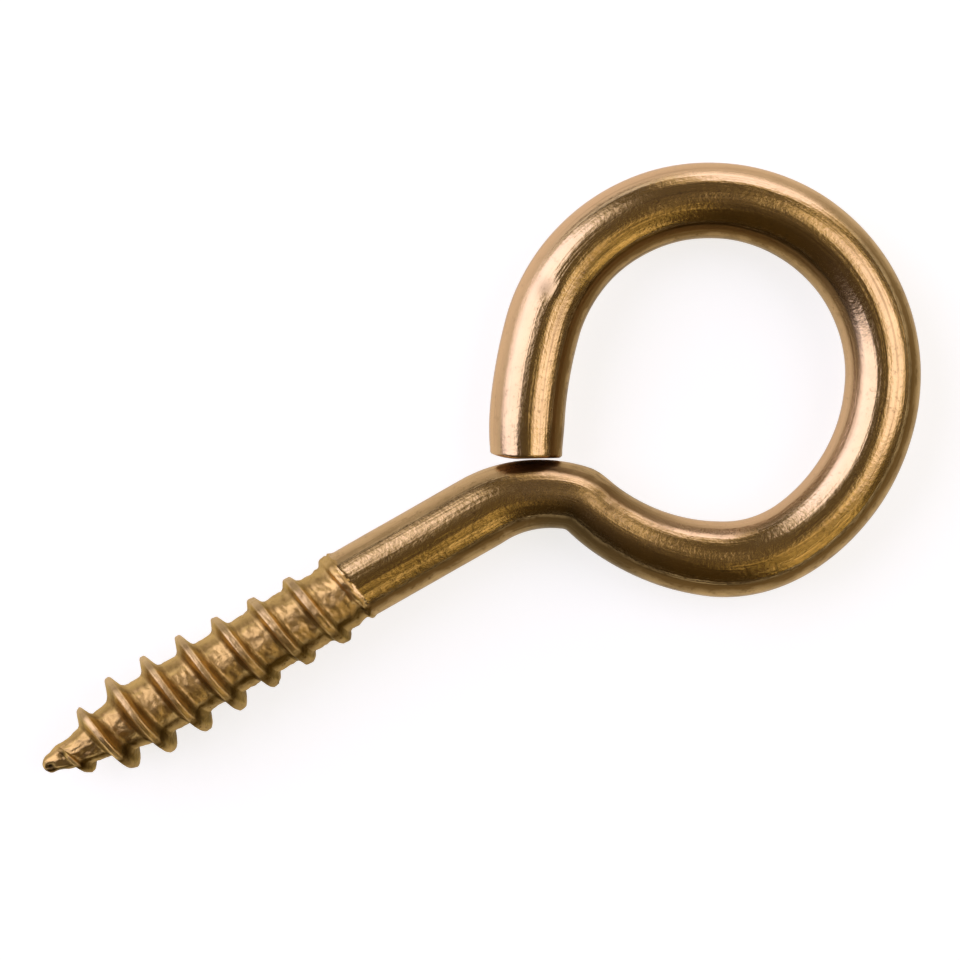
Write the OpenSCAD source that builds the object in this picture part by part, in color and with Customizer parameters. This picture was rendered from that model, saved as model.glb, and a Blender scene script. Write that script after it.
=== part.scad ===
// Screw eye, bent from one length of brass wire.
// A wood screw thread with a gimlet point is cut on one end of the wire. The other end turns down
// through a neck that the bending tool has pinched, and then runs round into an eye.
// The part lies flat: the thread points along -X, the eye's axis is +Z, both are in one level plane,
// and the thread's lowest crests touch z = 0.

/* [Wire] */
// Diameter of the wire
wire_d = 3.1; // [2.6:0.05:3.5]
// Length from the tip of the point to the centre of the eye
reach = 31.6; // [29:0.1:40]
// Lean of the plain shank off the thread's axis, in degrees
shank_lean = 0.8; // [0:0.1:1.5]

/* [Eye] */
// Mean inside diameter of the eye
eye_d = 11.3; // [10:0.1:13]
// Where round the eye the neck meets it, in degrees from the +X side
neck_at = 193.5; // [190:0.1:198]
// How much the eye's first bend points inwards of a true circle at the kink, in degrees
kink_lead = 1.7; // [0:0.1:3]
// Centre-line radius of the bend that takes the neck down off the shank
neck_bend_r = 5.1; // [4.2:0.1:6.5]
// Part of the wire's width that the bending tool pinched away at the kink
pinch = 0.14; // [0:0.01:0.25]
// Gap between the cut end of the wire and the neck
end_gap = 0.08; // [0.02:0.01:0.4]

/* [Thread] */
// Diameter over the thread's crests
thread_d = 4.0; // [3.7:0.05:4.4]
// Diameter of the core between the ridges
core_d = 2.68; // [2.2:0.02:2.9]
// Distance from one ridge to the next
pitch = 1.68; // [1.5:0.02:2]
// Length of the thread, from the tip to the shoulder of the plain shank
thread_len = 14.6; // [12:0.1:17]
// Length of the gimlet point
point_len = 4.6; // [3.5:0.1:6]
// Diameter of the gimlet point's blunt end
point_d = 0.64; // [0.4:0.02:0.9]
// Length of the smooth land before the ridge starts, and the angle at which it starts
tip_land = 0.25; // [0.15:0.05:0.4]
start_angle = 255; // [0:5:355]
// Height worn off the crests near the shank, on the radius
crest_wear = 0.24; // [0:0.02:0.4]
// Angle of each flank of a ridge, in degrees
flank = 27; // [15:1:32]
// How far the hooked tip stands off the thread's axis, and the length that it bends over
tip_hook = 0.14; // [0:0.02:0.3]
hook_len = 2.5; // [1.5:0.1:4]
// How far the thread was cut off the centre of the wire
off_centre = 0.05; // [0:0.01:0.06]
// Height of the lip that the end of the thread pushed up on the plain shank
lip = 0.09; // [0.06:0.01:0.15]

/* [Hidden] */

brass = [0.78, 0.60, 0.32];
$fn = 96;

wire_r = wire_d / 2;
thread_r = thread_d / 2;
core_r = core_d / 2;
eye_r = (eye_d + wire_d) / 2;

// The part is centred on x = 0 between its tip and the far side of the eye
eye_x = (reach - eye_r - wire_r) / 2;
tip_x = eye_x - reach;
shoulder_x = tip_x + thread_len;

// The kink is where the neck's bend meets the eye's first bend, seen from the eye's centre
kink = [eye_x + eye_r * cos(neck_at), eye_r * sin(neck_at)];
eye_heading = neck_at + 90 + kink_lead;
neck_heading = -acos(cos(shank_lean) + kink.y / neck_bend_r);
neck_x = kink.x + neck_bend_r * (sin(neck_heading) + sin(shank_lean));
neck_centre = [neck_x - neck_bend_r * sin(shank_lean), -neck_bend_r * cos(shank_lean)];

// A place on the wire is [x, y, heading], and a bend turns it to the left about its centre
function centre_of(place, r) = [place[0] - r * sin(place[2]), place[1] + r * cos(place[2])];
function along(place, r, sweep) =
    let (c = centre_of(place, r), a = place[2] + sweep)
    [c.x + r * sin(a), c.y - r * cos(a), a];

// The eye is four bends in turn, each with its radius and its sweep in degrees, and then a nearly
// straight tail. The radii are shares of the eye's mean radius: the hand-turned eye isn't quite round.
bend_a = [1.2 * eye_r, 39.7];
bend_b = [0.74 * eye_r, 39.3];
bend_c = [1.135 * eye_r, 52];
bend_d = [0.987 * eye_r, 168];
tail_r = 2.6 * eye_r;

start_a = [kink.x, kink.y, eye_heading];
start_b = along(start_a, bend_a[0], bend_a[1]);
start_c = along(start_b, bend_b[0], bend_b[1]);
start_d = along(start_c, bend_c[0], bend_c[1]);
start_tail = along(start_d, bend_d[0], bend_d[1]);

// The wire is cut square where its end face comes within the gap of the neck's back, measured from
// the centre of the neck's bend. By then it has turned right round, so its heading passes 360 degrees.
neck_back_r = neck_bend_r + wire_r * (1 - pinch / 2);
to_tail = centre_of(start_tail, tail_r) - neck_centre;
face_angle = 180 + atan2(to_tail.y, to_tail.x) - asin((neck_back_r + end_gap) / norm(to_tail));
tail_heading = 360 + 90 + face_angle;
tail_sweep = max(2, tail_heading - start_tail[2]);

// Detail of the swept wire and of the thread
sides = 32;
step_angle = 4.5;
turn_steps = 32;
// Swept pieces run on a little way inside the plain ones, and are this much thinner. The thread
// gets thinner by the buried depth once it is inside the shank.
overlap = 0.3;
overlap_angle = 2.5;
inset = 0.012;
thin_r = wire_r - inset;
buried = 0.25;

// Where a swept bend's rings of points go
function stops(place, r, sweep) =
    let (n = ceil(sweep / step_angle))
    [for (i = [1:n]) concat(along(place, r, sweep * i / n), i / n)];

// A ring of points round the wire: across is the wire's half width in the plane of the eye
function ring(place, across = thin_r) = [
    for (j = [0:sides - 1])
        let (a = 360 * j / sides, side = across * cos(a))
        [place[0] - side * sin(place[2]), place[1] + side * cos(place[2]), thin_r * sin(a)]
];

// Joins rings of points into a closed solid, with a flat cap on each end
module skin(rings) {
    last = sides * (len(rings) - 1);
    walls = [
        for (i = [0:sides:last - 1], j = [0:sides - 1])
            let (k = (j + 1) % sides, a = i + j, b = i + k)
            each [[a, b + sides, b], [a, a + sides, b + sides]]
    ];
    caps = [[for (j = [0:sides - 1]) j], [for (j = [sides - 1:-1:0]) last + j]];
    polyhedron(points = [for (r = rings) each r], faces = concat(walls, caps), convexity = 6);
}

// The pinched neck, the kink, and the near side of the eye
module neck() {
    neck_sweep = -neck_heading - shank_lean;
    down = [
        for (a = [0:step_angle:neck_sweep - step_angle / 2])
            let (turned = shank_lean + a)
            ring([neck_centre.x + neck_bend_r * sin(turned),
                  neck_centre.y + neck_bend_r * cos(turned), -turned],
                 thin_r * (1 - pinch * a / neck_sweep))
    ];
    lead_in = ring([neck_x - overlap, overlap * tan(shank_lean), -shank_lean]);
    crease = ring([kink.x, kink.y, neck_heading], thin_r * (1 - pinch));
    out_of_pinch = [
        for (s = stops(start_a, bend_a[0], bend_a[1])) ring(s, thin_r * (1 - pinch * (1 - s[3])))
    ];
    round = [
        for (s = concat(stops(start_b, bend_b[0], bend_b[1]), stops(start_c, bend_c[0], bend_c[1])))
            ring(s)
    ];
    lead_out = ring(along(start_d, bend_d[0], overlap_angle));
    skin(concat([lead_in], down, [crease], out_of_pinch, round, [lead_out]));
}

// The far side of the eye is one true arc
module far_side() {
    translate(centre_of(start_d, bend_d[0])) rotate(start_d[2] - 90)
        rotate_extrude(angle = bend_d[1])
            translate([bend_d[0], 0]) circle(d = wire_d, $fn = 48);
}

// The tail, cut off square
module tail() {
    lead_in = ring(along(start_tail, bend_d[0], -overlap_angle));
    skin(concat([lead_in, ring(start_tail)],
                [for (s = stops(start_tail, tail_r, tail_sweep)) ring(s)]));
}

// The plain shank, with the small lip that the end of the thread has pushed up at the shoulder
module shank() {
    length = neck_x - shoulder_x;
    translate([neck_x, 0, 0]) rotate([0, 0, -shank_lean]) rotate([0, -90, 0])
        rotate_extrude()
            polygon([
                [0, 0], [wire_r, 0], [wire_r, length - 4 * lip],
                [wire_r + lip, length - lip], [wire_r + lip / 2, length], [0, length]
            ]);
}

// Radius of the thread's core and crests at distance d from the tip. The core narrows again past
// the shoulder, so that it ends well inside the shank.
function ease(t) = let (s = min(1, max(0, t))) s * s * (3 - 2 * s);
function worn_at(d) = ease((d - thread_len / 2) / (thread_len / 4));
function core_at(d) = min(core_r, point_d / 2 + (core_r - point_d / 2) * d / point_len)
    + 0.07 * worn_at(d) - buried * ease((d - thread_len) / buried);
function crest_at(d) =
    let (full = thread_r * sin(90 * min(1, d / point_len)) - crest_wear * worn_at(d),
         run_out = ease((d - thread_len + 0.4) / 0.35))
    max(core_at(d) + 0.03, full + (core_at(d) - full) * run_out);

// The thread: one ridge profile carried along a helix. Its lines start together at the tip and
// meet again on the axis, inside the shank.
module thread() {
    turns = (thread_len - tip_land + overlap) / pitch + 1;
    steps = ceil(turns * turn_steps);
    // The ridge's profile, from foot to foot: side of the crest, place down the flank, and height
    profile = [[-1, 1.3, 0], [-1, 0.8, 0.14], [-1, 0, 1], [1, 0, 1], [1, 0.8, 0.14], [1, 1.3, 0]];
    lines = len(profile);

    function point_at(i, k) =
        let (d = tip_land + pitch * i / turn_steps,
             core = core_at(d),
             ridge = crest_at(d) - core,
             flat = 0.05 + 0.1 * worn_at(d),
             d_line = d + profile[k][0] * (flat + profile[k][1] * ridge * tan(flank)),
             r = core_at(d_line) + ridge * profile[k][2],
             a = start_angle + 360 * i / turn_steps,
             hook = tip_hook * pow(max(0, 1 - d_line / hook_len), 2))
        [tip_x + d_line, r * cos(a) + hook, r * sin(a)];

    tip = [tip_x, tip_hook, 0];
    end = [tip_x + tip_land + pitch * steps / turn_steps + 0.5, 0, 0];
    last_point = 1 + (steps - 1) * lines;
    // Number of the point at step i on line k: the tip is the first and the end is the last
    function id(i, k) = i <= 0 ? 0 : i >= steps ? last_point : 1 + (i - 1) * lines + k;

    ridge_faces = [
        for (i = [0:steps - 1], k = [0:lines - 2])
            each [[id(i, k), id(i, k + 1), id(i + 1, k + 1)], [id(i, k), id(i + 1, k + 1), id(i + 1, k)]]
    ];
    groove_faces = [
        for (i = [0:steps - 1 - turn_steps])
            let (a = id(i, lines - 1), b = id(i + 1, lines - 1),
                 c = id(i + 1 + turn_steps, 0), e = id(i + turn_steps, 0))
            each [[a, e, c], [a, c, b]]
    ];
    tip_faces = [for (i = [1:turn_steps - 1]) [0, id(i, 0), id(i + 1, 0)]];
    end_faces = [
        for (i = [steps - turn_steps:steps - 2]) [last_point, id(i + 1, lines - 1), id(i, lines - 1)]
    ];
    faces = [
        for (f = concat(ridge_faces, groove_faces, tip_faces, end_faces))
            if (f[0] != f[1] && f[1] != f[2] && f[2] != f[0]) f
    ];
    points = concat([tip], [for (i = [1:steps - 1], k = [0:lines - 1]) point_at(i, k)], [end]);
    polyhedron(points = points, faces = faces, convexity = 8);
}

module screw_eye() {
    color(brass) translate([0, 0, thread_r]) union() {
        shank();
        translate([0, -off_centre, 0]) thread();
        neck();
        far_side();
        tail();
    }
}

screw_eye();
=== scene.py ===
import math

import bmesh
import bpy
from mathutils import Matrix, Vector


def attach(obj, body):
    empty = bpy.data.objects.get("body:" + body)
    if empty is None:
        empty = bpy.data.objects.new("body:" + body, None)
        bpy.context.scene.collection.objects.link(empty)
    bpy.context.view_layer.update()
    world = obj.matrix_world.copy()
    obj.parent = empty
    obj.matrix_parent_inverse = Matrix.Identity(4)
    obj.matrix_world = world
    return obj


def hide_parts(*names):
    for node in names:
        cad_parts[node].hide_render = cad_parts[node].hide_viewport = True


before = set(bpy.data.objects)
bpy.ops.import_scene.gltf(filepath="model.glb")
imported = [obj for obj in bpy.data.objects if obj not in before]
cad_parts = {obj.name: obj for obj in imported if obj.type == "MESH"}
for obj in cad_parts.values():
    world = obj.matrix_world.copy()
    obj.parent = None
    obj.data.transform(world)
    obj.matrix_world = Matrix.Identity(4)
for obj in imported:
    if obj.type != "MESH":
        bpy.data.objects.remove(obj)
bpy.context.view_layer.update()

# Sizes are in millimetres and angles in degrees, and the finished piece is scaled to metres.
MM = 0.001
FULL_TURN = 2 * math.pi
QUARTER_TURN = math.pi / 2

# The wire and the eye
WIRE_D = 3.1
REACH = 31.6
SHANK_LEAN = 0.8
EYE_D = 11.3
NECK_AT = 193.5
KINK_LEAD = 1.7
KINK_SOFTENED = 0.55
NECK_BEND_R = 5.1
END_GAP = 0.02
PINCH = 0.14

# The bends that the hand-turned eye is made of: each one's radius, in eye radii, and its sweep
EYE_BENDS = ((1.2, 39.7), (0.74, 39.3), (1.135, 52.0), (0.987, 168.0))
TAIL_BEND = 2.6

# The thread
THREAD_D = 4.0
CORE_D = 2.68
PITCH = 1.68
THREAD_LEN = 14.6
POINT_LEN = 4.6
POINT_D = 0.64
NOSE_LEN = 0.34
CORE_BLEND = 0.12
TIP_LAND = 0.25
START_ANGLE = 255.0
TIP_HOOK = 0.14
HOOK_LEN = 2.5
OFF_CENTRE = 0.05
STEP_OVER = 0.6
LIP = 0.09

# The ridge: its crest and hollow flanks, and where it rises and dies away, from the thread's ends
CREST_FLAT = 0.07
FLANK_ANGLE = 27.0
FLANK_SPREAD = 1.3
LEAST_FLANK = 0.01
FLANK_CURVE = ((0, 1), (1, 0), (0.11, 0.95), (0.34, 0.57), (0.63, 0.15))
RUN_IN = (0.7, 1.45)
RUN_OUT = (-0.7, 0.45)

# Wear towards the shoulder: what it takes off the crest, and adds to its flat, its flanks and the core
CREST_WEAR = 0.24
WORN_FLAT = 0.04
WORN_FLANK = 0.1
WORN_CORE = 0.07

# Marks that the die, the draw plate and handling left. Each kind is given as how close its marks
# lie along, across and up the wire, and the detail and roughness of their outlines.
COARSE_TEARS = ((1.6, 2.6, 2.6), 2.0, 0.5)
CREASES = ((2.2, 3.4, 3.4), 1.0, 0.5)
FINE_TEARS = ((5.0, 8.0, 8.0), 3.0, 0.6)
RIDGE_CHIPS = ((0.3, 2.0, 2.0), 3.0, 0.6)
SHOULDER_TEAR = ((0.5, 3.4, 3.4), 3.0, 0.65)
LIP_GAPS = ((0.9, 2.6, 2.6), 3.0, 0.6)
WIRE_WANDER = ((0.33, 0.9, 0.9), 1.0, 0.4)
FINE_DRAW_LINES = ((0.2, 6.0, 6.0), 3.0, 0.6)
BROAD_DRAW_LINES = ((0.05, 2.6, 2.6), 2.0, 0.5)
STAIN_STREAKS = ((0.14, 4.5, 4.5), 3.0, 0.65)

# How deep those marks go
COARSE_DEPTH = 0.09
CREASE_DEPTH = 0.055
FINE_DEPTH = 0.026
ROOT_SINK = 0.016
TEAR_REACH = 0.4
WANDER_DEPTH = 0.022

# Chips, as shares of a ridge's height, and how far a ridge hides the torn root
CHIP_SHARE = 0.12
WORN_CHIP_SHARE = 0.4
RIDGE_HIDES = 0.75
WORN_RIDGE_BARES = 0.45

# How much of the root is torn at the very tip, and how much more so towards the shoulder
TIP_TORN = 0.3
TIP_SMOOTH = (0.3, 2.0)
SHOULDER_TORN = 0.35
SHOULDER_ROUGH = (9.0, 13.0)

# The shoulder: how far back it starts, how it slants, and how far the wire and its lip reach round it
SHOULDER_BACK = 0.02
SHOULDER_SLANT = 0.22
SHOULDER_RAMP = 0.3
LIP_WIDTH = 0.25
LIP_COVER = 0.3
LIP_GAIN = 2.6

# Near the shoulder: where the rings are kept square to the thread, and where the ridge's colours fade
SQUARE_FROM = (-1.0, -0.8)
SQUARE_TO = (0.0, 0.2)
RIDGE_FADES = (-1.5, -0.7)
THREAD_FINISH_PAST = 0.12

# The cut end: where the shears pressed it thinner and how far they dragged its corner back, the
# length over which its rounding is let in, and where its face starts past the wire's end
PRESSED_LEN = 1.6
PRESSED_IN = 0.07
DRAGGED_LEN = 0.9
DRAGGED_FROM = 0.2
DRAGGED_BACK = 0.32
END_STRAIGHT = 0.5
FACE_FROM = 0.9

# Painted light on the side that faces the big lamp: the way that side faces, and how much of it is on
# the shank and the eye
LIT_SIDE_TOWARDS = (0.985, 0.17)
LIT_SIDE_FACING = (-0.5, 1.0)
SHANK_LIT_SIDE = 0.48
EYE_LIT_SIDE_MORE = 0.52
EYE_LIT_SIDE_FROM = (0.5, 5.0)

# Where the eye's inside starts past the kink, and how much painted shade a dent gets for each millimetre
# of depth
INSIDE_FROM = (0.0, 1.5)
DENT_SHADE = 9.0

WIRE_R = WIRE_D / 2
THREAD_R = THREAD_D / 2
EYE_R = (EYE_D + WIRE_D) / 2
EYE_X = (REACH - EYE_R - WIRE_R) / 2
TIP_X = EYE_X - REACH

# How finely the centre line and the surface are laid out
ROUTE_STEP = 0.06
COLUMNS = 96
ROWS_PER_PITCH = 44
ROW_CROWDING = 0.5
STRIP_SPARE = 0.5
WIRE_ROW = 0.17
EDGE_ROUND = 0.15
EDGE_ROWS = 6
CAP_ROWS = 9
JOIN_DISTANCE = 0.002
POLE_DISTANCE = 0.0005
TIP_POLE = 0.01


# ---------------------------------------------------------------------------------------------
# The wire's centre line, from the tip of the point to the cut end
# ---------------------------------------------------------------------------------------------

def centre_of(place, radius):
    """Centre of a left-hand bend that starts at a place, which is x, y and heading."""
    x, y, heading = place
    turn = math.radians(heading)
    return x - radius * math.sin(turn), y + radius * math.cos(turn)


def along(place, radius, sweep):
    """The place that a left-hand bend leads to."""
    x, y = centre_of(place, radius)
    turn = math.radians(place[2] + sweep)
    return x + radius * math.sin(turn), y - radius * math.cos(turn), place[2] + sweep


def bend_points(place, radius, sweep):
    """Points along a bend, without its first one."""
    count = max(2, round(abs(math.radians(sweep) * radius) / ROUTE_STEP))
    return [along(place, radius, sweep * i / count)[:2] for i in range(1, count + 1)]


def straight_points(start, end):
    """Points along a straight, without its first one."""
    count = max(2, round(math.dist(start, end) / ROUTE_STEP))
    return [
        (start[0] + (end[0] - start[0]) * i / count, start[1] + (end[1] - start[1]) * i / count)
        for i in range(1, count + 1)
    ]


def ease(t):
    """0 before 0, 1 after 1, and a smooth rise between them."""
    t = min(1.0, max(0.0, t))
    return t * t * (3 - 2 * t)


def length_of(points):
    return sum(math.dist(a, b) for a, b in zip(points, points[1:]))


def neck_places():
    """Where the neck starts, where it kinks and how the eye leaves the kink."""
    at = math.radians(NECK_AT)
    kink = (EYE_X + EYE_R * math.cos(at), EYE_R * math.sin(at))
    lean = math.radians(SHANK_LEAN)
    dive = math.acos(math.cos(lean) + kink[1] / NECK_BEND_R)
    neck_x = kink[0] - NECK_BEND_R * (math.sin(dive) - math.sin(lean))
    start = (neck_x, 0.0, -SHANK_LEAN)
    return start, math.degrees(dive), (kink[0], kink[1], NECK_AT + 90 + KINK_LEAD)


def eye_points(kink):
    """The hand-turned eye: bends that aren't quite one circle, then the nearly straight tail."""
    points = []
    place = kink
    for share, sweep in EYE_BENDS:
        points += bend_points(place, share * EYE_R, sweep)
        place = along(place, share * EYE_R, sweep)
    start = neck_places()[0]
    neck_centre = centre_of(start, -NECK_BEND_R)
    tail_r = TAIL_BEND * EYE_R
    tail_centre = centre_of(place, tail_r)
    run = (tail_centre[0] - neck_centre[0], tail_centre[1] - neck_centre[1])
    neck_back = NECK_BEND_R + WIRE_R * (1 - PINCH / 2) + END_GAP
    face_angle = 180 + math.degrees(
        math.atan2(run[1], run[0]) - math.asin(neck_back / math.hypot(*run))
    )
    sweep = 360 + 90 + face_angle - place[2]
    return points + bend_points(place, tail_r, sweep)


def shoulder_height(x):
    """Where the leaning shank's centre is, sideways, at x."""
    neck_x = neck_places()[0][0]
    return (neck_x - x) * math.tan(math.radians(SHANK_LEAN))


def thread_points():
    """The cut thread's own axis: hooked at the tip, and off the wire's centre till the shoulder."""
    count = round(THREAD_LEN / ROUTE_STEP)
    points = []
    for i in range(count + 1):
        d = THREAD_LEN * i / count
        x = TIP_X + d
        hook = TIP_HOOK * max(0.0, 1 - d / HOOK_LEN) ** 2
        joined = ease((d - THREAD_LEN + STEP_OVER) / STEP_OVER)
        y = -OFF_CENTRE + hook + (shoulder_height(x) + OFF_CENTRE) * joined
        points.append((x, y))
    return points


def softened(points, corner, reach):
    """The same points with the corner turned as a short curve instead."""
    before = length_of(points[:corner + 1])
    run = [0.0]
    for a, b in zip(points, points[1:]):
        run.append(run[-1] + math.dist(a, b))
    first = next(i for i, s in enumerate(run) if s > before - reach)
    last = next(i for i, s in enumerate(run) if s > before + reach)
    a, b, c = points[first], points[corner], points[last]
    count = last - first
    curve = []
    for i in range(count + 1):
        t = i / count
        curve.append(tuple(
            (1 - t) ** 2 * a[k] + 2 * t * (1 - t) * b[k] + t ** 2 * c[k] for k in (0, 1)
        ))
    return points[:first] + curve + points[last + 1:]


def wire_route():
    """The whole centre line, and the lengths along it at which the neck starts and kinks."""
    start, dive, kink = neck_places()
    points = thread_points()
    points += straight_points(points[-1], start[:2])
    neck_from = length_of(points)
    points += bend_points(start, -NECK_BEND_R, SHANK_LEAN - dive)
    corner = len(points) - 1
    kink_at = length_of(points)
    points += eye_points(kink)
    return softened(points, corner, KINK_SOFTENED), neck_from, kink_at


# ---------------------------------------------------------------------------------------------
# Sums written as node trees
# ---------------------------------------------------------------------------------------------

class Amount:
    """A number that a node tree works out. Plain sums on it add the tree's Math nodes."""

    def __init__(self, tree, socket):
        self.tree = tree
        self.socket = socket

    def __add__(self, other):
        return sum_of(self.tree, "ADD", self, other)

    def __radd__(self, other):
        return sum_of(self.tree, "ADD", other, self)

    def __sub__(self, other):
        return sum_of(self.tree, "SUBTRACT", self, other)

    def __rsub__(self, other):
        return sum_of(self.tree, "SUBTRACT", other, self)

    def __mul__(self, other):
        return sum_of(self.tree, "MULTIPLY", self, other)

    def __rmul__(self, other):
        return sum_of(self.tree, "MULTIPLY", other, self)

    def __truediv__(self, other):
        return sum_of(self.tree, "DIVIDE", self, other)

    def do(self, operation, *others):
        return sum_of(self.tree, operation, self, *others)

    def eased(self, start, end):
        """0 before start, 1 after end, and a smooth rise between them."""
        node = self.tree.nodes.new("ShaderNodeMapRange")
        node.interpolation_type = "SMOOTHSTEP"
        plug(self.tree, self, node.inputs["Value"])
        plug(self.tree, start, node.inputs["From Min"])
        plug(self.tree, end, node.inputs["From Max"])
        return Amount(self.tree, node.outputs["Result"])

    def held(self, low, high):
        return self.do("MAXIMUM", low).do("MINIMUM", high)


def plug(tree, value, slot):
    """Feeds a socket with a number, a vector or what another node puts out."""
    if isinstance(value, Amount):
        tree.links.new(value.socket, slot)
    elif isinstance(value, bpy.types.NodeSocket):
        tree.links.new(value, slot)
    else:
        slot.default_value = value


def sum_of(tree, operation, *terms):
    node = tree.nodes.new("ShaderNodeMath")
    node.operation = operation
    for slot, term in zip(node.inputs, terms):
        plug(tree, term, slot)
    return Amount(tree, node.outputs[0])


def vector_of(tree, x, y, z):
    node = tree.nodes.new("ShaderNodeCombineXYZ")
    for slot, term in zip(node.inputs, (x, y, z)):
        plug(tree, term, slot)
    return node.outputs[0]


def parts_of(tree, vector):
    node = tree.nodes.new("ShaderNodeSeparateXYZ")
    tree.links.new(vector, node.inputs[0])
    return [Amount(tree, out) for out in node.outputs]


def node_with(tree, kind, values=None, **settings):
    """A node with its settings and its inputs given."""
    node = tree.nodes.new(kind)
    for name, value in settings.items():
        setattr(node, name, value)
    for name, value in (values or {}).items():
        plug(tree, value, node.inputs[name])
    return node


def noise(tree, vector, scale, detail=2.0, roughness=0.5):
    """Noise from about -1 to 1, evenly about 0."""
    node = node_with(
        tree, "ShaderNodeTexNoise",
        {"Vector": vector, "Scale": scale, "Detail": detail, "Roughness": roughness},
    )
    return (Amount(tree, node.outputs[0]) - 0.5) * 2.0


def stretched(tree, vector, scale):
    node = node_with(tree, "ShaderNodeVectorMath", {0: vector, 1: scale}, operation="MULTIPLY")
    return node.outputs[0]


def marks(tree, place, kind):
    """Noise from about -1 to 1, as one of the kinds of mark."""
    closeness, detail, roughness = kind
    return noise(tree, stretched(tree, place, closeness), 1.0, detail, roughness)


def shaped(tree, value, handles):
    """A value read off a curve through the handles."""
    node = node_with(tree, "ShaderNodeFloatCurve", {"Value": value})
    curve = node.mapping.curves[0]
    for i, (x, y) in enumerate(handles):
        if i < 2:
            curve.points[i].location = (x, y)
        else:
            curve.points.new(x, y)
    node.mapping.update()
    return Amount(tree, node.outputs[0])


# ---------------------------------------------------------------------------------------------
# The piece: one Geometry Nodes tree lays the thread and the wire round the centre line
# ---------------------------------------------------------------------------------------------

WIRE_INPUTS = {
    "Wire Radius": WIRE_R,
    "Thread Radius": THREAD_R,
    "Core Radius": CORE_D / 2,
    "Point Radius": POINT_D / 2,
    "Pitch": PITCH,
    "Thread Length": THREAD_LEN,
    "Strip Length": THREAD_LEN + STRIP_SPARE,
    "Point Length": POINT_LEN,
    "Start Turn": START_ANGLE / 360 - 0.5 - TIP_LAND / PITCH,
    "Crest Wear": CREST_WEAR,
    "Lip": LIP,
    "Pinch": PINCH,
    "Columns": COLUMNS,
    "Rows per Pitch": ROWS_PER_PITCH,
    "Wire Row": WIRE_ROW,
    "Edge Round": EDGE_ROUND,
    "Edge Rows": EDGE_ROWS,
    "Cap Rows": CAP_ROWS,
}
ROUTE_INPUTS = ("Neck From", "Kink At", "Pinch Ends", "Wire Length")
FINISH_INPUTS = ("Wire Finish", "Thread Finish", "End Finish")


def open_tree():
    """A new geometry tree with its named inputs, and those inputs as amounts."""
    tree = bpy.data.node_groups.new("threaded_wire", "GeometryNodeTree")
    tree.is_modifier = True
    tree.interface.new_socket("Centre Line", in_out="INPUT", socket_type="NodeSocketGeometry")
    for name in (*WIRE_INPUTS, *ROUTE_INPUTS):
        tree.interface.new_socket(name, in_out="INPUT", socket_type="NodeSocketFloat")
    for name in FINISH_INPUTS:
        tree.interface.new_socket(name, in_out="INPUT", socket_type="NodeSocketMaterial")
    tree.interface.new_socket("Screw Eye", in_out="OUTPUT", socket_type="NodeSocketGeometry")
    given = tree.nodes.new("NodeGroupInput")
    size = {name: Amount(tree, given.outputs[name]) for name in (*WIRE_INPUTS, *ROUTE_INPUTS)}
    return tree, given.outputs, size


def unrolled_grid(tree, steps, rows):
    """A flat grid and, at each of its points, the number of the step and of the row."""
    grid = node_with(tree, "GeometryNodeMeshGrid", {
        "Size X": steps, "Size Y": rows, "Vertices X": steps + 1, "Vertices Y": rows + 1,
    })
    x, y, _ = parts_of(tree, tree.nodes.new("GeometryNodeInputPosition").outputs[0])
    step = (x + steps * 0.5).do("ROUND")
    row = (y + rows * 0.5).do("ROUND")
    return grid.outputs["Mesh"], step, row


def turned_to(size, column):
    """The angle of a column of points, in radians."""
    turn = column.do("MODULO", size["Columns"]) / size["Columns"] + size["Start Turn"]
    return turn * FULL_TURN


def moved(tree, mesh, position):
    node = node_with(tree, "GeometryNodeSetPosition", {"Geometry": mesh, "Position": position})
    return node.outputs[0]


def kept(tree, mesh, name, value, kind="FLOAT"):
    """Stores a value on the mesh under a name."""
    node = node_with(
        tree, "GeometryNodeStoreNamedAttribute", {"Geometry": mesh, "Name": name, "Value": value},
        data_type=kind, domain="POINT",
    )
    return node.outputs[0]


def read_back(tree, name, kind="FLOAT"):
    """A value that was stored on the mesh."""
    node = node_with(tree, "GeometryNodeInputNamedAttribute", {"Name": name}, data_type=kind)
    out = next(o for o in node.outputs if o.enabled)
    return Amount(tree, out) if kind == "FLOAT" else out


def thread_strip(tree, size):
    """One pitch's width of surface, wound up the screw until its edges meet, as a plain tube here.

    Its rows crowd towards the crest line, and each point keeps its distance from that line.
    """
    steps = ((size["Strip Length"] / size["Pitch"] + 1.0) * size["Columns"]).do("CEIL")
    mesh, step, row = unrolled_grid(tree, steps, size["Rows per Pitch"])
    share = row / size["Rows per Pitch"]
    crowded = share + (share * FULL_TURN).do("SINE") * (ROW_CROWDING / FULL_TURN)
    place = size["Pitch"] * (step / size["Columns"] + crowded - 1.0)
    place = place.held(0.0, size["Strip Length"])
    angle = turned_to(size, step)
    mesh = kept(tree, mesh, "off_crest", (crowded - 0.5).do("ABSOLUTE") * size["Pitch"])
    mesh = kept(tree, mesh, "crest_at", size["Pitch"] * (step / size["Columns"] - 0.5))
    return moved(tree, mesh, vector_of(tree, place, angle.do("COSINE"), angle.do("SINE")))


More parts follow.
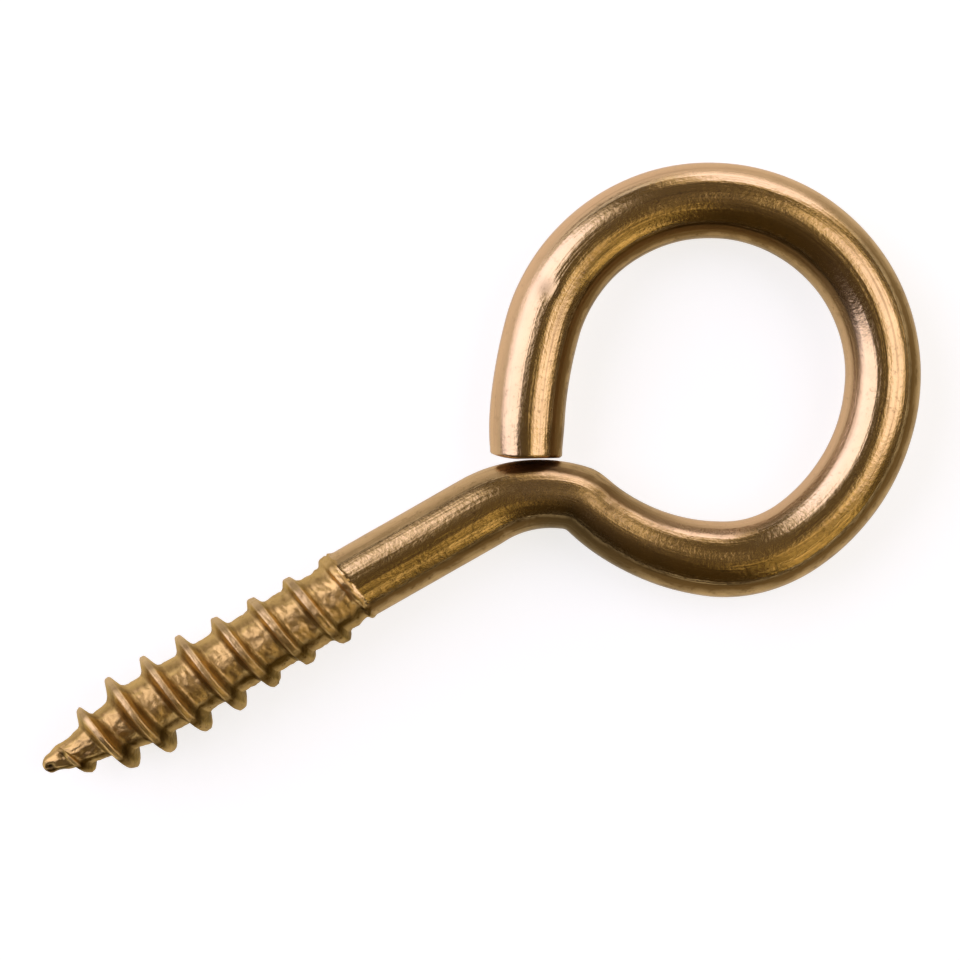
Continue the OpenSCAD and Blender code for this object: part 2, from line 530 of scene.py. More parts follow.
def wire_tube(tree, size):
    """The plain wire as a tube, with fine rows round the cut end's edge and coarse ones on its face."""
    body_rows = ((size["Wire Length"] - size["Strip Length"]) / size["Wire Row"]).do("ROUND")
    rows = body_rows + size["Edge Rows"] + size["Cap Rows"]
    mesh, row, column = unrolled_grid(tree, rows, size["Columns"])
    body = row.do("MINIMUM", body_rows) / body_rows
    body = size["Strip Length"] + body * (size["Wire Length"] - size["Strip Length"])
    edge = (row - body_rows).held(0.0, size["Edge Rows"]) / size["Edge Rows"]
    cap = (row - body_rows - size["Edge Rows"]).do("MAXIMUM", 0.0) / size["Cap Rows"]
    angle = turned_to(size, column)
    mesh = kept(tree, mesh, "off_crest", size["Pitch"] * 0.5)
    mesh = kept(tree, mesh, "crest_at", size["Strip Length"])
    rings = vector_of(tree, body + edge + cap, angle.do("COSINE"), angle.do("SINE"))
    tube = moved(tree, mesh, rings)
    return node_with(tree, "GeometryNodeFlipFaces", {"Mesh": tube}).outputs[0]


def merged(tree, mesh, distance):
    node = node_with(tree, "GeometryNodeMergeByDistance", {"Geometry": mesh, "Distance": distance})
    return node.outputs[0]


def unrolled_surface(tree, size):
    """The strip and the tube as one surface, on which each point keeps its unrolled place."""
    joined = tree.nodes.new("GeometryNodeJoinGeometry")
    for surface in (thread_strip(tree, size), wire_tube(tree, size)):
        tree.links.new(surface, joined.inputs[0])
    mesh = merged(tree, joined.outputs[0], JOIN_DISTANCE)
    here = tree.nodes.new("GeometryNodeInputPosition").outputs[0]
    return kept(tree, mesh, "unrolled", here, "FLOAT_VECTOR")


class Spot:
    """Where a point of the unrolled surface is: its run along the wire, and across and up from it.

    The run counts on past the wire's end: one more for the rounded edge, and one for the face.
    """

    def __init__(self, tree, size):
        self.tree = tree
        self.size = size
        self.unrolled = read_back(tree, "unrolled", "FLOAT_VECTOR")
        self.run, self.across, self.up = parts_of(tree, self.unrolled)
        self.place = self.run.do("MINIMUM", size["Wire Length"])
        self.edge = (self.run - size["Wire Length"]).held(0.0, 1.0) * QUARTER_TURN
        self.cap = (self.run - size["Wire Length"] - 1.0).held(0.0, 1.0)
        self.worn = self.place.eased(size["Thread Length"] / 2, size["Thread Length"] * 0.75)

    def marks(self, kind):
        return marks(self.tree, self.unrolled, kind)

    def rise_at(self, mark, start, end):
        """0 before a start and 1 after an end, both counted from a mark on the wire."""
        return self.place.eased(self.size[mark] + start, self.size[mark] + end)


def core_radius(spot):
    """The thread's core: blunt and rounded at the tip, tapering out to its full width."""
    size = spot.size
    taper = size["Point Radius"] + (size["Core Radius"] - size["Point Radius"]) * (
        spot.place / size["Point Length"]
    )
    core = taper.do("SMOOTH_MIN", size["Core Radius"], CORE_BLEND)
    nose = 1.0 - (spot.place / NOSE_LEN).do("MINIMUM", 1.0)
    return core * (1.0 - nose * nose).do("SQRT") + spot.worn * WORN_CORE


def ridge_height(spot, core):
    """How far the crest stands off the core."""
    size = spot.size
    crest_at = read_back(spot.tree, "crest_at")
    grown = (spot.place / size["Point Length"]).do("MINIMUM", 1.0) * QUARTER_TURN
    crest = size["Thread Radius"] * grown.do("SINE") - size["Crest Wear"] * spot.worn
    run_in = crest_at.eased(*RUN_IN)
    run_out = crest_at.eased(size["Thread Length"] + RUN_OUT[0], size["Thread Length"] + RUN_OUT[1])
    return (crest - core).do("MAXIMUM", 0.0) * run_in * (1.0 - run_out)


def ridge_profile(spot, height):
    """Share of the ridge's height at a distance off its crest line: a worn flat, then hollow flanks."""
    flat = CREST_FLAT + spot.worn * WORN_FLAT
    spread = FLANK_SPREAD * math.tan(math.radians(FLANK_ANGLE))
    width = spread * height + spot.worn * WORN_FLANK + LEAST_FLANK
    across = ((read_back(spot.tree, "off_crest") - flat) / width).held(0.0, 1.0)
    return shaped(spot.tree, across, FLANK_CURVE)


def torn_root(spot):
    """What the die left between the ridges: torn, hammered metal, smoothest at the tip."""
    torn = spot.marks(COARSE_TEARS) * COARSE_DEPTH
    torn = torn + spot.marks(CREASES).do("ABSOLUTE") * CREASE_DEPTH - ROOT_SINK
    torn = torn + spot.marks(FINE_TEARS) * FINE_DEPTH
    past_tip = spot.place.eased(*TIP_SMOOTH) * (1.0 - TIP_TORN) + TIP_TORN
    return torn * (past_tip + spot.place.eased(*SHOULDER_ROUGH) * SHOULDER_TORN)


def thread_surface(spot):
    """The thread's radius, and how far up a ridge the point is, from 0 in the root to 1 on the crest."""
    core = core_radius(spot)
    height = ridge_height(spot, core)
    profile = ridge_profile(spot, height)
    chipped = spot.marks(RIDGE_CHIPS) * (CHIP_SHARE + spot.worn * WORN_CHIP_SHARE)
    ridge = height * profile * (1.0 + chipped)
    bared = 1.0 - profile * (RIDGE_HIDES - spot.worn * WORN_RIDGE_BARES)
    return core + ridge + torn_root(spot) * bared, profile * height.eased(0.0, 0.2)


def past_shoulder(spot):
    """How far a point is past the thread's slanting, torn end."""
    tear = spot.marks(SHOULDER_TEAR) * TEAR_REACH
    start = spot.place - spot.size["Thread Length"] - SHOULDER_BACK
    return start + spot.across * SHOULDER_SLANT + tear


def wire_surface(spot, shoulder):
    """The plain wire's radius: not quite even, with the lip that the end of the thread pushed up."""
    size = spot.size
    lip = shoulder.eased(-LIP_WIDTH, 0.0) * (1.0 - shoulder.eased(0.0, LIP_WIDTH))
    ragged = spot.marks(LIP_GAPS) + LIP_COVER
    lip = lip * ragged.do("MAXIMUM", 0.0) * size["Lip"] * LIP_GAIN
    wander = spot.marks(WIRE_WANDER) * WANDER_DEPTH
    pressed = spot.rise_at("Wire Length", -PRESSED_LEN, 0.0) * PRESSED_IN
    return size["Wire Radius"] + lip + wander - pressed


def dented(spot, radius, at, angle, reach, depth):
    """A round dent, at a length along the wire and an angle round it."""
    turn = math.radians(angle)
    run = (spot.place - at) / reach
    side = (spot.across - math.cos(turn)) * radius / reach
    rise = (spot.up - math.sin(turn)) * radius / reach
    near = run * run + side * side + rise * rise
    return (0.0 - near).do("EXPONENT") * -depth


def closed_ends(spot, radius):
    """The radius brought in round the cut end's edge and over its face, and to a pole at the tip."""
    edge_in = spot.size["Edge Round"] * (1.0 - spot.edge.do("COSINE"))
    tip = (spot.place / TIP_POLE).do("MINIMUM", 1.0)
    return (radius - edge_in) * (1.0 - spot.cap) * tip


def squeezed(spot):
    """The bending tool's pinch: 1 at the kink, and 0 at the neck's start and the first bend's end."""
    size = spot.size
    coming = (spot.place - size["Neck From"]) / (size["Kink At"] - size["Neck From"])
    going = (size["Pinch Ends"] - spot.place) / (size["Pinch Ends"] - size["Kink At"])
    return coming.do("MINIMUM", going).held(0.0, 1.0)


def centre_and_heading(spot, centre_line):
    """The centre line's place and direction beside a point."""
    size = spot.size
    drawn_in = size["Edge Round"] * (1.0 - spot.edge.do("SINE"))
    near_end = spot.run.eased(size["Wire Length"] - END_STRAIGHT, size["Wire Length"])
    length = spot.place - drawn_in * near_end
    sample = node_with(
        spot.tree, "GeometryNodeSampleCurve", {"Curves": centre_line, "Length": length}, mode="LENGTH"
    )
    centre = parts_of(spot.tree, sample.outputs["Position"])
    heading = parts_of(spot.tree, sample.outputs["Tangent"])
    # Where the thread steps over onto the wire's centre, its rings stay square to the thread
    step = spot.rise_at("Thread Length", *SQUARE_FROM)
    step = step * (1.0 - spot.rise_at("Thread Length", *SQUARE_TO))
    return centre, (heading[0] + (1.0 - heading[0]) * step, heading[1] * (1.0 - step))


def dragged_corner(spot):
    """How far the shears dragged the cut end's outer corner back along the wire."""
    outer = (spot.across * (spot.cap - 1.0) - DRAGGED_FROM).do("MAXIMUM", 0.0)
    return outer * outer * spot.rise_at("Wire Length", -DRAGGED_LEN, 0.0) * DRAGGED_BACK


def laid_out(spot, radius, squeeze, centre, heading):
    """Where a point of the surface comes to lie, narrowed across the eye's plane by the pinch."""
    across_r = radius * (1.0 - squeeze * spot.size["Pinch"])
    dragged = dragged_corner(spot)
    return vector_of(
        spot.tree,
        centre[0] - heading[1] * across_r * spot.across - heading[0] * dragged,
        centre[1] + heading[0] * across_r * spot.across - heading[1] * dragged,
        centre[2] + radius * spot.up,
    )


def rubbed_side(spot, heading):
    """The side that faces the big lamp, from 0 to 1, less so on the shank than round the eye. The
    finishes paint it lighter, as painted light.
    """
    facing = (heading[0] * LIT_SIDE_TOWARDS[0] + heading[1] * LIT_SIDE_TOWARDS[1]) * spot.across
    on_eye = spot.rise_at("Kink At", *EYE_LIT_SIDE_FROM) * EYE_LIT_SIDE_MORE + SHANK_LIT_SIDE
    return facing.eased(*LIT_SIDE_FACING) * on_eye


def ridge_to_shoulder(spot, ridge):
    """How far up a ridge the point is, faded out where the last ridge meets the shoulder."""
    return ridge * (1.0 - spot.rise_at("Thread Length", *RIDGE_FADES))


def with_finishes(tree, mesh, given, parts):
    """Sets a finish on each part of the surface. The first one covers it all."""
    for name, part in parts.items():
        setter = node_with(tree, "GeometryNodeSetMaterial", {"Geometry": mesh, "Material": given[name]})
        if part is not None:
            plug(tree, part, setter.inputs["Selection"])
        mesh = setter.outputs[0]
    return mesh


def in_metres(tree, mesh):
    """Smooth, scaled to metres, and lifted so that the thread's lowest crests lie on the floor."""
    mesh = node_with(tree, "GeometryNodeSetShadeSmooth", {"Geometry": mesh}).outputs[0]
    mesh = node_with(tree, "GeometryNodeTransform", {
        "Geometry": mesh, "Scale": (MM, MM, MM), "Translation": (0, 0, THREAD_R * MM),
    }).outputs[0]
    return node_with(tree, "GeometryNodeRealizeInstances", {"Geometry": mesh}).outputs[0]


def add_screw_eye_tree(dents):
    """The whole piece as a node tree: surface, shape, what the finishes read, and the finishes."""
    tree, given, size = open_tree()
    mesh = unrolled_surface(tree, size)
    spot = Spot(tree, size)
    thread_r, ridge = thread_surface(spot)
    shoulder = past_shoulder(spot)
    wire_r = wire_surface(spot, shoulder)
    radius = thread_r + (wire_r - thread_r).do("MAXIMUM", 0.0) * shoulder.eased(-SHOULDER_RAMP, 0.0)
    hollows = sum(dented(spot, radius, *dent) for dent in dents)
    radius = closed_ends(spot, radius + hollows)
    squeeze = squeezed(spot)
    centre, heading = centre_and_heading(spot, given["Centre Line"])
    mesh = moved(tree, mesh, laid_out(spot, radius, squeeze, centre, heading))
    mesh = merged(tree, mesh, POLE_DISTANCE)

    on_wire_place = vector_of(tree, spot.run, spot.across * radius, spot.up * radius)
    mesh = kept(tree, mesh, "on_wire", on_wire_place, "FLOAT_VECTOR")
    for name, value in {
        "shoulder": shoulder,
        # Painted light: the side that faces the big lamp, which the finishes paint lighter
        "rubbed_side": rubbed_side(spot, heading),
        "ridge": ridge_to_shoulder(spot, ridge),
        "strained": squeeze,
        # The inside of the eye, whose flanks get more painted shade
        "inside_eye": spot.rise_at("Kink At", *INSIDE_FROM) * spot.across.do("MAXIMUM", 0.0),
        # Painted shade: the inside of the neck, under the cut end
        "painted_neck_shade": squeeze * (0.0 - spot.across).do("MAXIMUM", 0.0),
        # Painted shade in the dents, by their depth
        "hollow": (hollows * -DENT_SHADE).held(0.0, 1.0),
    }.items():
        mesh = kept(tree, mesh, name, value)

    mesh = with_finishes(tree, in_metres(tree, mesh), given, {
        "Wire Finish": None,
        "Thread Finish": sum_of(tree, "LESS_THAN", read_back(tree, "shoulder"), THREAD_FINISH_PAST),
        "End Finish": sum_of(tree, "GREATER_THAN", spot.run, size["Wire Length"] + FACE_FROM),
    })
    out = tree.nodes.new("NodeGroupOutput")
    tree.links.new(mesh, out.inputs[0])
    return tree


def placed(name, data):
    """A new object that holds the data, in the scene."""
    item = bpy.data.objects.new(name, data)
    bpy.context.scene.collection.objects.link(item)
    return item


def length_at(points, azimuth):
    """How far along the wire the eye reaches an angle, seen from the eye's centre."""
    first = next(i for i, p in enumerate(points) if p[0] > EYE_X)
    for i in range(first, len(points)):
        seen = math.degrees(math.atan2(points[i][1], points[i][0] - EYE_X))
        if 0 < azimuth < seen:
            return length_of(points[:i + 1])
    raise ValueError("the eye doesn't reach that angle")


def centre_line_object(points):
    """The centre line as a curve, in millimetres, level with the thread's axis."""
    curve = bpy.data.curves.new("wire_centre_line", "CURVE")
    curve.dimensions = "3D"
    spline = curve.splines.new("POLY")
    spline.points.add(len(points) - 1)
    for point, (x, y) in zip(spline.points, points):
        point.co = (x, y, 0, 1)
    return placed("wire_centre_line", curve)


def give_sizes(modifier, tree, sizes):
    """Sets a modifier's inputs by the identifiers of their sockets."""
    for item in tree.interface.items_tree:
        if item.in_out == "INPUT" and item.name in sizes:
            modifier[item.identifier] = sizes[item.name]


def dents_on(points, kink_at):
    """Each dent's length along the wire, angle from the inside of the eye, reach and depth."""
    tool_mark = (length_at(points, 121.3), 107.5, 0.36, 0.09)
    tip_hollow = (0.32, 108, 0.15, 0.17)
    tip_pit = (0.62, 170, 0.2, 0.12)
    tip_nick = (1.0, 75, 0.16, 0.1)
    tip_bump = (0.85, 8, 0.25, -0.07)
    kink_bump = (kink_at - 0.05, 5, 0.3, -0.07)
    kink_hollow = (kink_at + 0.5, 62, 0.4, 0.045)
    return [tool_mark, tip_hollow, tip_pit, tip_nick, tip_bump, kink_bump, kink_hollow]


def wire_sizes(points, neck_from, kink_at):
    """The tree's sizes, with the lengths that come from the centre line."""
    share, sweep = EYE_BENDS[0]
    sizes = dict(WIRE_INPUTS)
    sizes["Neck From"] = neck_from
    sizes["Kink At"] = kink_at
    sizes["Pinch Ends"] = kink_at + share * EYE_R * math.radians(sweep)
    sizes["Wire Length"] = length_of(points)
    return {name: float(value) for name, value in sizes.items()}


def make_screw_eye(finishes):
    """The whole screw eye as one plain mesh."""
    points, neck_from, kink_at = wire_route()
    line = centre_line_object(points)
    tree = add_screw_eye_tree(dents_on(points, kink_at))
    modifier = line.modifiers.new("threaded_wire", "NODES")
    modifier.node_group = tree
    give_sizes(modifier, tree, wire_sizes(points, neck_from, kink_at))
    give_sizes(modifier, tree, finishes)
    bpy.context.view_layer.update()
    evaluated = line.evaluated_get(bpy.context.evaluated_depsgraph_get())
    mesh = bpy.data.meshes.new_from_object(evaluated)
    mesh.name = "brass_screw_eye"
    piece = placed("brass_screw_eye", mesh)
    bpy.data.objects.remove(line)
    return piece


# ---------------------------------------------------------------------------------------------
# Finishes
# ---------------------------------------------------------------------------------------------

# Brass as it was drawn, cut and sheared, in linear light. The side that faces the big lamp is painted in
# other colours as painted light, pinker on its flanks and paler on top, and the crests there get a
# painted highlight
LIT_FLANK_BRASS = (0.72, 0.46, 0.26, 1)
LIT_TOP_BRASS = (0.72, 0.53, 0.32, 1)
YELLOW_BRASS = (0.70, 0.48, 0.21, 1)
CUT_BRASS = (0.70, 0.46, 0.17, 1)
FOOT_BRASS = (0.68, 0.455, 0.135, 1)
# Painted highlight on the crests
CREST_HIGHLIGHT_BRASS = (0.80, 0.60, 0.38, 1)
SHEARED_BRASS = (0.34, 0.22, 0.1, 1)

# What has darkened it: tarnish, with painted shade on the flanks, in the neck under the cut end, in the
# dents and in the ridges' seams. The tarnish colours of the side that faces the big lamp are lighter, as
# painted light
WIRE_TARNISH_AND_SHADE = (0.13, 0.07, 0.019, 1)
LIT_WIRE_TARNISH_AND_SHADE = (0.19, 0.112, 0.042, 1)
THREAD_TARNISH_AND_SHADE = (0.078, 0.039, 0.006, 1)
LIT_THREAD_TARNISH_AND_SHADE = (0.2, 0.113, 0.032, 1)
SHEARED_TARNISH = (0.16, 0.1, 0.05, 1)
# Painted shade in the neck under the cut end and in the wire's dents
WIRE_PAINTED_SHADE = (0.055, 0.034, 0.011, 1)
# Painted shade in the seams at the ridges' feet
SEAM_PAINTED_SHADE = (0.22, 0.135, 0.03, 1)
# Painted shade in the thread's dents
PIT_PAINTED_SHADE = (0.03, 0.017, 0.005, 1)


def open_group(name, inputs, outputs):
    """A shader group with named inputs and outputs. Inputs are given as name: (kind, value)."""
    group = bpy.data.node_groups.new(name, "ShaderNodeTree")
    for label, (kind, value) in inputs.items():
        socket = group.interface.new_socket(label, in_out="INPUT", socket_type="NodeSocket" + kind)
        if value is not None:
            socket.default_value = value
    for label, kind in outputs.items():
        group.interface.new_socket(label, in_out="OUTPUT", socket_type="NodeSocket" + kind)
    given = group.nodes.new("NodeGroupInput")
    result = group.nodes.new("NodeGroupOutput")
    return group, given.outputs, result.inputs


def mixed(tree, share, a, b):
    """A colour between a and b."""
    node = node_with(tree, "ShaderNodeMix", data_type="RGBA")
    plug(tree, share, node.inputs["Factor"])
    plug(tree, a, node.inputs["A"])
    plug(tree, b, node.inputs["B"])
    return node.outputs["Result"]


def make_wire_grain():
    """Fine surface relief of drawn wire: long draw lines along it, and a peened grain all over."""
    group, given, result = open_group(
        "wire_grain",
        {
            "On Wire": ("Vector", None),
            "Lines": ("Float", 1.0),
            "Grain": ("Float", 1.0),
        },
        {"Height": "Float"},
    )
    place = given["On Wire"]
    fine = marks(group, place, FINE_DRAW_LINES)
    broad = marks(group, place, BROAD_DRAW_LINES)
    lines = (fine * 0.6 + broad * 1.6) * Amount(group, given["Lines"])
    grain = noise(group, place, 5.5, 3.0, 0.6) * Amount(group, given["Grain"])
    plug(group, lines + grain, result["Height"])
    return group


def make_tarnish_and_shade():
    """Darkening: cloudy patches, small specks and streaks of patina, and painted shade on the flanks,
    all cut back on the side that faces the big lamp as painted light.
    """
    group, given, result = open_group(
        "tarnish",
        {
            "On Wire": ("Vector", None),
            "Clean": ("Color", (0.7, 0.5, 0.29, 1)),
            "Tarnished": ("Color", (0.3, 0.19, 0.09, 1)),
            "Clouds": ("Float", 0.3),
            "Specks": ("Float", 0.5),
            "Flanks": ("Float", 0.6),
            "Streaks": ("Float", 0.0),
            "Rub": ("Float", 0.0),
        },
        {"Colour": "Color", "Amount": "Float"},
    )
    place = given["On Wire"]
    _, across, up = parts_of(group, place)
    around = (across * across + up * up).do("SQRT").do("MAXIMUM", 0.01)
    rise = (up / around).do("ABSOLUTE")
    wander = noise(group, place, 0.5, 2.0) * 0.05
    drawn = marks(group, place, STAIN_STREAKS)
    # Painted shade on the flanks, the wire's sides, a little less right at its edge
    flank_shade = 1.0 - (rise + wander + drawn * 0.03).eased(0.69, 0.85)
    clouds = noise(group, place, 0.9, 5.0, 0.6).eased(-0.4, 0.5)
    specks = noise(group, place, 3.6, 4.0, 0.75).eased(0.1, 0.5)
    flank_shade = flank_shade * (0.42 + rise.eased(0.35, 0.75) * 0.58)
    amount = (
        clouds * Amount(group, given["Clouds"])
        + specks * Amount(group, given["Specks"])
        + flank_shade * Amount(group, given["Flanks"])
        + drawn.eased(0.05, 0.5) * Amount(group, given["Streaks"])
    ).held(0.0, 1.0) * (1.0 - Amount(group, given["Rub"]))
    plug(group, mixed(group, amount, given["Clean"], given["Tarnished"]), result["Colour"])
    plug(group, amount, result["Amount"])
    return group


def new_finish(name):
    """A new material, with its node tree and its shader."""
    finish = bpy.data.materials.new(name)
    finish.use_nodes = True
    return finish, finish.node_tree, finish.node_tree.nodes["Principled BSDF"]


def place_group(tree, group, **values):
    """A group placed in a material, with its inputs given."""
    node = node_with(tree, "ShaderNodeGroup", node_tree=group)
    for label, value in values.items():
        plug(tree, value, node.inputs[label.replace("_", " ").title()])
    return node.outputs


def on_wire(tree):
    """Millimetres along the wire, and across and up from its centre line."""
    node = node_with(tree, "ShaderNodeAttribute", attribute_name="on_wire")
    return node.outputs["Vector"]


def stored(tree, name):
    """A value that the piece's mesh carries."""
    return Amount(tree, node_with(tree, "ShaderNodeAttribute", attribute_name=name).outputs["Fac"])


def bumped(tree, shader, height, depth):
    """Relief, with its depth in millimetres."""
    bump = node_with(tree, "ShaderNodeBump", {"Distance": depth * MM, "Strength": 1.0})
    plug(tree, height, bump.inputs["Height"])
    tree.links.new(bump.outputs["Normal"], shader.inputs["Normal"])


def brushed(tree, shader, colour, roughness):
    """Bare metal of a colour and roughness."""
    plug(tree, colour, shader.inputs["Base Color"])
    plug(tree, roughness, shader.inputs["Roughness"])
    shader.inputs["Metallic"].default_value = 1.0


def drawn_brass(grain, tarnish):
    """The plain wire: smooth, with draw lines along it, and duller in the pinched neck. Painted light
    makes the side that faces the big lamp paler and pinker; painted shade darkens its flanks, the inside
    of the neck under the cut end, and its dents.
    """
    finish, tree, shader = new_finish("drawn_brass")
    place = on_wire(tree)
    painted_neck_shade = stored(tree, "painted_neck_shade").eased(0.0, 0.7)
    strained = stored(tree, "strained").eased(0.0, 0.8)
    rubbed = stored(tree, "rubbed_side")
    _, _, up = parts_of(tree, place)
    level = (up / WIRE_R).do("ABSOLUTE").eased(0.6, 0.85)
    # Painted light: on the side that faces the big lamp the brass is paler and pinker, its tarnish
    # lighter and there is less of it. Painted shade: the flanks darken, more so inside the eye.
    darkening = place_group(
        tree, tarnish, on_wire=place,
        clean=mixed(tree, rubbed, YELLOW_BRASS, mixed(tree, level, LIT_FLANK_BRASS, LIT_TOP_BRASS)),
        tarnished=mixed(tree, rubbed, WIRE_TARNISH_AND_SHADE, LIT_WIRE_TARNISH_AND_SHADE),
        clouds=0.28 - rubbed * 0.2 + strained * 0.25,
        specks=0.5,
        streaks=0.4,
        flanks=1.0 - rubbed * 0.3 + stored(tree, "inside_eye") * 0.5,
        rub=rubbed * (0.6 - strained * 0.1),
    )
    # Painted shade in the neck under the cut end and in the dents
    shaded = (painted_neck_shade * 0.8).do("MAXIMUM", stored(tree, "hollow") * 0.6)
    colour = mixed(tree, shaded, darkening["Colour"], WIRE_PAINTED_SHADE)
    roughness = Amount(tree, darkening["Amount"]) * 0.12 + 0.18 + strained * 0.05
    brushed(tree, shader, colour, roughness)
    shader.inputs["Specular Tint"].default_value = (0.8, 0.72, 0.6, 1)
    relief = place_group(tree, grain, on_wire=place, lines=2.0, grain=1.2)
    bumped(tree, shader, relief["Height"], 0.0045)
    return finish


def cut_brass(grain, tarnish):
    """The thread: torn and dulled by the die, with painted shade in the seams at the ridges' feet,
    reaching higher on the side away from the big lamp, and a painted highlight on the crests of the side
    that faces it.
    """
    finish, tree, shader = new_finish("cut_brass")
    place = on_wire(tree)
    ridge = stored(tree, "ridge")
    rubbed = stored(tree, "rubbed_side")
    shaded_side = 1.0 - rubbed.eased(0.1, 0.5)
    ragged = noise(tree, place, 2.4, 3.0, 0.6)
    foot = ridge.eased(0.2, 0.4) * (1.0 - ridge.eased(0.7, 0.9))
    skirt = ridge.eased(0.01, 0.08) * (1.0 - ridge.eased(0.6, 0.85))
    # Painted shade in the seams at the ridges' feet, higher up the ridge on the side away from the big
    # lamp
    seam = ridge.eased(0.01, 0.07) * (0.8 + ragged) * (0.4 + shaded_side * 0.6) * (
        1.0 - ridge.eased(0.16 + shaded_side * 0.3, 0.34 + shaded_side * 0.45)
    )
    # Painted highlight: paler crests on the side that faces the big lamp
    crest = ridge.eased(0.85, 1.0) * rubbed
    clean = mixed(tree, foot, CUT_BRASS, FOOT_BRASS)
    clean = mixed(tree, seam.held(0.0, 0.8), clean, SEAM_PAINTED_SHADE)
    clean = mixed(tree, crest, clean, CREST_HIGHLIGHT_BRASS)
    # Painted light: on the side that faces the big lamp the tarnish is lighter and there is less of it.
    # Painted shade: the flanks darken.
    darkening = place_group(
        tree, tarnish, on_wire=place, clean=clean,
        tarnished=mixed(tree, rubbed, THREAD_TARNISH_AND_SHADE, LIT_THREAD_TARNISH_AND_SHADE),
        clouds=0.35,
        specks=0.35,
        flanks=0.85,
        rub=rubbed * 0.8,
    )
    # Painted shade in the dents
    colour = mixed(tree, stored(tree, "hollow"), darkening["Colour"], PIT_PAINTED_SHADE)
    roughness = Amount(tree, darkening["Amount"]) * 0.1 + 0.39 + skirt * 0.1 - rubbed * 0.07
    brushed(tree, shader, colour, roughness)
    shader.inputs["Specular Tint"].default_value = (0.8, 0.72, 0.55, 1)
    relief = place_group(tree, grain, on_wire=place, lines=0.0, grain=1.0)
    bumped(tree, shader, relief["Height"], 0.012)
    return finish


def sheared_brass(grain, tarnish):
    """The cut end: a coarse, dull face."""
    finish, tree, shader = new_finish("sheared_brass")
    place = on_wire(tree)
    darkening = place_group(
        tree, tarnish, on_wire=place, clean=SHEARED_BRASS, tarnished=SHEARED_TARNISH,
        clouds=0.6, specks=0.5, flanks=0.0,
    )
    brushed(tree, shader, darkening["Colour"], 0.45)
    relief = place_group(tree, grain, on_wire=place, lines=0.0, grain=2.0)
    bumped(tree, shader, relief["Height"], 0.012)
    return finish


# ---------------------------------------------------------------------------------------------
# Studio
# ---------------------------------------------------------------------------------------------

# The camera looks straight down, turned so that the shank points down to the left
CAMERA_TURN = 30.5
VIEW_CENTRE = (1.22, 1.14)
VIEW_WIDTH = 39.34
LENS = 135.0
SENSOR = 36.0

# The bench in metres: the radius and height of each ring, and how far out its glow starts to rise
BENCH_RINGS = ((0.05, 0.0), (0.3, 0.0), (0.8, 0.0), (0.9, 0.008), (0.97, 0.04), (1.0, 0.1))
BENCH_SIDES = 64
GLOW_RISES = (0.45, 0.75)
GLOW = 0.735
FAR_GLOW = 0.17

# Each large lamp is white at its middle and has a dimmer, warmer fringe, set a little further off
LAMP_DISTANCE = 0.6
FRINGE_DISTANCE = 0.64
COOL = (1.0, 1.0, 1.7)
PALE = (1.0, 0.92, 0.75)
AMBER = (1.0, 0.83, 0.48)
GOLD = (1.0, 0.8, 0.38)

# The room, and the way towards its darker side
ROOM = (0.108, 0.078, 0.038, 1)
DARK_ROOM = (0.055, 0.035, 0.011, 1)
DARK_SIDE = (-0.766, -0.643, 0.0)


def add_camera():
    data = bpy.data.cameras.new("camera")
    data.lens = LENS
    data.sensor_width = SENSOR
    data.clip_start = 0.01
    data.clip_end = 5.0
    camera = placed("camera", data)
    height = VIEW_WIDTH * LENS / SENSOR + THREAD_R
    camera.location = (VIEW_CENTRE[0] * MM, VIEW_CENTRE[1] * MM, height * MM)
    camera.rotation_euler = (0, 0, math.radians(-CAMERA_TURN))
    bpy.context.scene.camera = camera


def bench_finish():
    """Pale, even and matt. What the camera and the metal see of it is lifted to white, shadow kept.

    It is lifted more further out, where the lamps give it less light.
    """
    finish, tree, shader = new_finish("pale_bench")
    shader.inputs["Base Color"].default_value = (0.5, 0.51, 0.51, 1)
    shader.inputs["Roughness"].default_value = 0.9
    shader.inputs["Specular IOR Level"].default_value = 0.0
    shader.inputs["Emission Color"].default_value = (1, 1, 1, 1)
    path = tree.nodes.new("ShaderNodeLightPath")
    seen = Amount(tree, path.outputs["Is Camera Ray"]) + Amount(tree, path.outputs["Is Glossy Ray"])
    seen = (seen + Amount(tree, path.outputs["Is Transmission Ray"])).do("MINIMUM", 1.0)
    place = tree.nodes.new("ShaderNodeTexCoord").outputs["Object"]
    length = node_with(tree, "ShaderNodeVectorMath", {0: place}, operation="LENGTH")
    away = Amount(tree, length.outputs["Value"])
    glow = away.eased(*GLOW_RISES) * FAR_GLOW + GLOW
    plug(tree, seen * glow, shader.inputs["Emission Strength"])
    return finish


def add_bench():
    """A round bench top that turns up gently at its rim, so that a low view still has it behind."""
    mesh = bmesh.new()
    centre = mesh.verts.new((0, 0, 0))
    previous = None
    for radius, height in BENCH_RINGS:
        ring = []
        for i in range(BENCH_SIDES):
            turn = FULL_TURN * i / BENCH_SIDES
            ring.append(mesh.verts.new((radius * math.cos(turn), radius * math.sin(turn), height)))
        for i in range(BENCH_SIDES):
            j = (i + 1) % BENCH_SIDES
            if previous is None:
                mesh.faces.new((centre, ring[i], ring[j]))
            else:
                mesh.faces.new((previous[i], ring[i], ring[j], previous[j]))
        previous = ring
    data = bpy.data.meshes.new("bench_top")
    mesh.to_mesh(data)
    mesh.free()
    for face in data.polygons:
        face.use_smooth = True
    data.materials.append(bench_finish())
    bench = placed("bench_top", data)


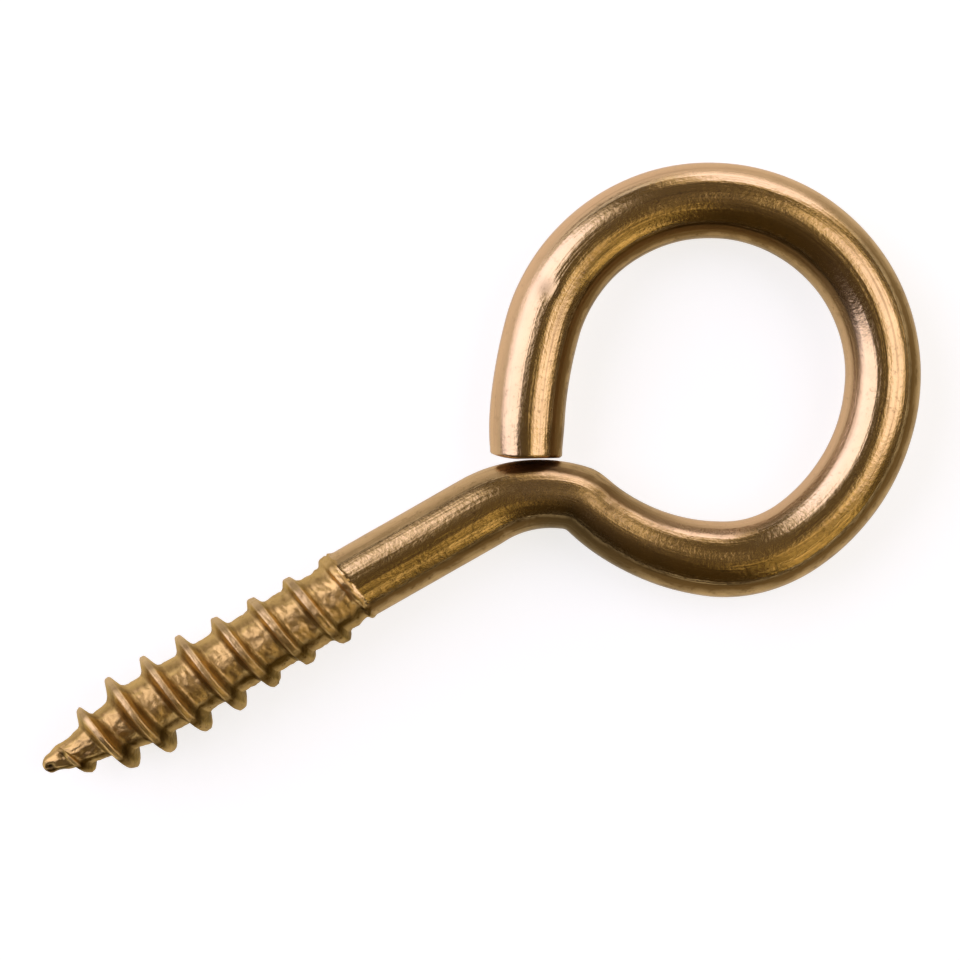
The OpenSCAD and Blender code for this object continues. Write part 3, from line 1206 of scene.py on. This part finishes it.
def add_softbox(name, azimuth, elevation, width, height, level, colour, distance=LAMP_DISTANCE):
    """An oval soft lamp turned to face the part. Its width and height are angles, seen from the part."""
    data = bpy.data.lights.new(name, "AREA")
    data.shape = "ELLIPSE"
    data.size = 2 * distance * math.tan(math.radians(width / 2))
    data.size_y = 2 * distance * math.tan(math.radians(height / 2))
    data.energy = level * math.pi * math.pi * data.size * data.size_y / 4
    data.color = colour
    lamp = placed(name, data)
    side = math.radians(azimuth)
    rise = math.radians(elevation)
    out = Vector((math.cos(side) * math.cos(rise), math.sin(side) * math.cos(rise), math.sin(rise)))
    lamp.location = out * distance
    lamp.rotation_euler = out.to_track_quat("Z", "Y").to_euler()
    lamp.visible_camera = False


def add_fringed_softbox(name, middle, fringe, level, fringe_level, fringe_colour):
    """A round cool lamp and its fringe, each given as azimuth, elevation and width."""
    add_softbox(name, *middle, middle[2], level, COOL)
    add_softbox(name + "_fringe", *fringe, fringe[2], fringe_level, fringe_colour, FRINGE_DISTANCE)


def add_world():
    """A dim brown room, darker towards one side."""
    world = bpy.data.worlds.new("dim_room")
    world.use_nodes = True
    tree = world.node_tree
    background = tree.nodes["Background"]
    out = tree.nodes.new("ShaderNodeTexCoord").outputs["Generated"]
    towards = node_with(
        tree, "ShaderNodeVectorMath", {0: out, 1: DARK_SIDE}, operation="DOT_PRODUCT"
    )
    _, _, rise = parts_of(tree, out)
    dark = Amount(tree, towards.outputs["Value"]).eased(-0.05, 0.38) * (1.0 - rise.eased(0.93, 1.0))
    tree.links.new(mixed(tree, dark, ROOM, DARK_ROOM), background.inputs["Color"])
    background.inputs["Strength"].default_value = 1.0
    bpy.context.scene.world = world


def light_the_scene():
    add_fringed_softbox("big_softbox", (131, 35, 63), (125, 36, 66), 1.0, 0.72, PALE)
    add_fringed_softbox("low_softbox", (42, 7, 42), (42, 7, 58), 1.0, 0.7, AMBER)
    add_fringed_softbox("warm_softbox", (-19, 50, 41), (-16, 51, 55), 0.9, 0.75, AMBER)
    for elevation, width, level in ((24, 28, 1.1), (51, 28, 0.6), (66, 24, 0.85)):
        add_softbox("gold_shelf", 282, elevation, width, 8, level, GOLD)
    add_softbox("pale_shelf", 282, 36, 34, 7, 1.6, AMBER)
    add_world()


# ---------------------------------------------------------------------------------------------

grain = make_wire_grain()
tarnish = make_tarnish_and_shade()
finishes = {
    "Wire Finish": drawn_brass(grain, tarnish),
    "Thread Finish": cut_brass(grain, tarnish),
    "End Finish": sheared_brass(grain, tarnish),
}
screw_eye = make_screw_eye(finishes)
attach(screw_eye, "root")
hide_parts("screw_eye")

add_bench()
light_the_scene()
add_camera()
bpy.context.scene.view_settings.view_transform = "Standard"
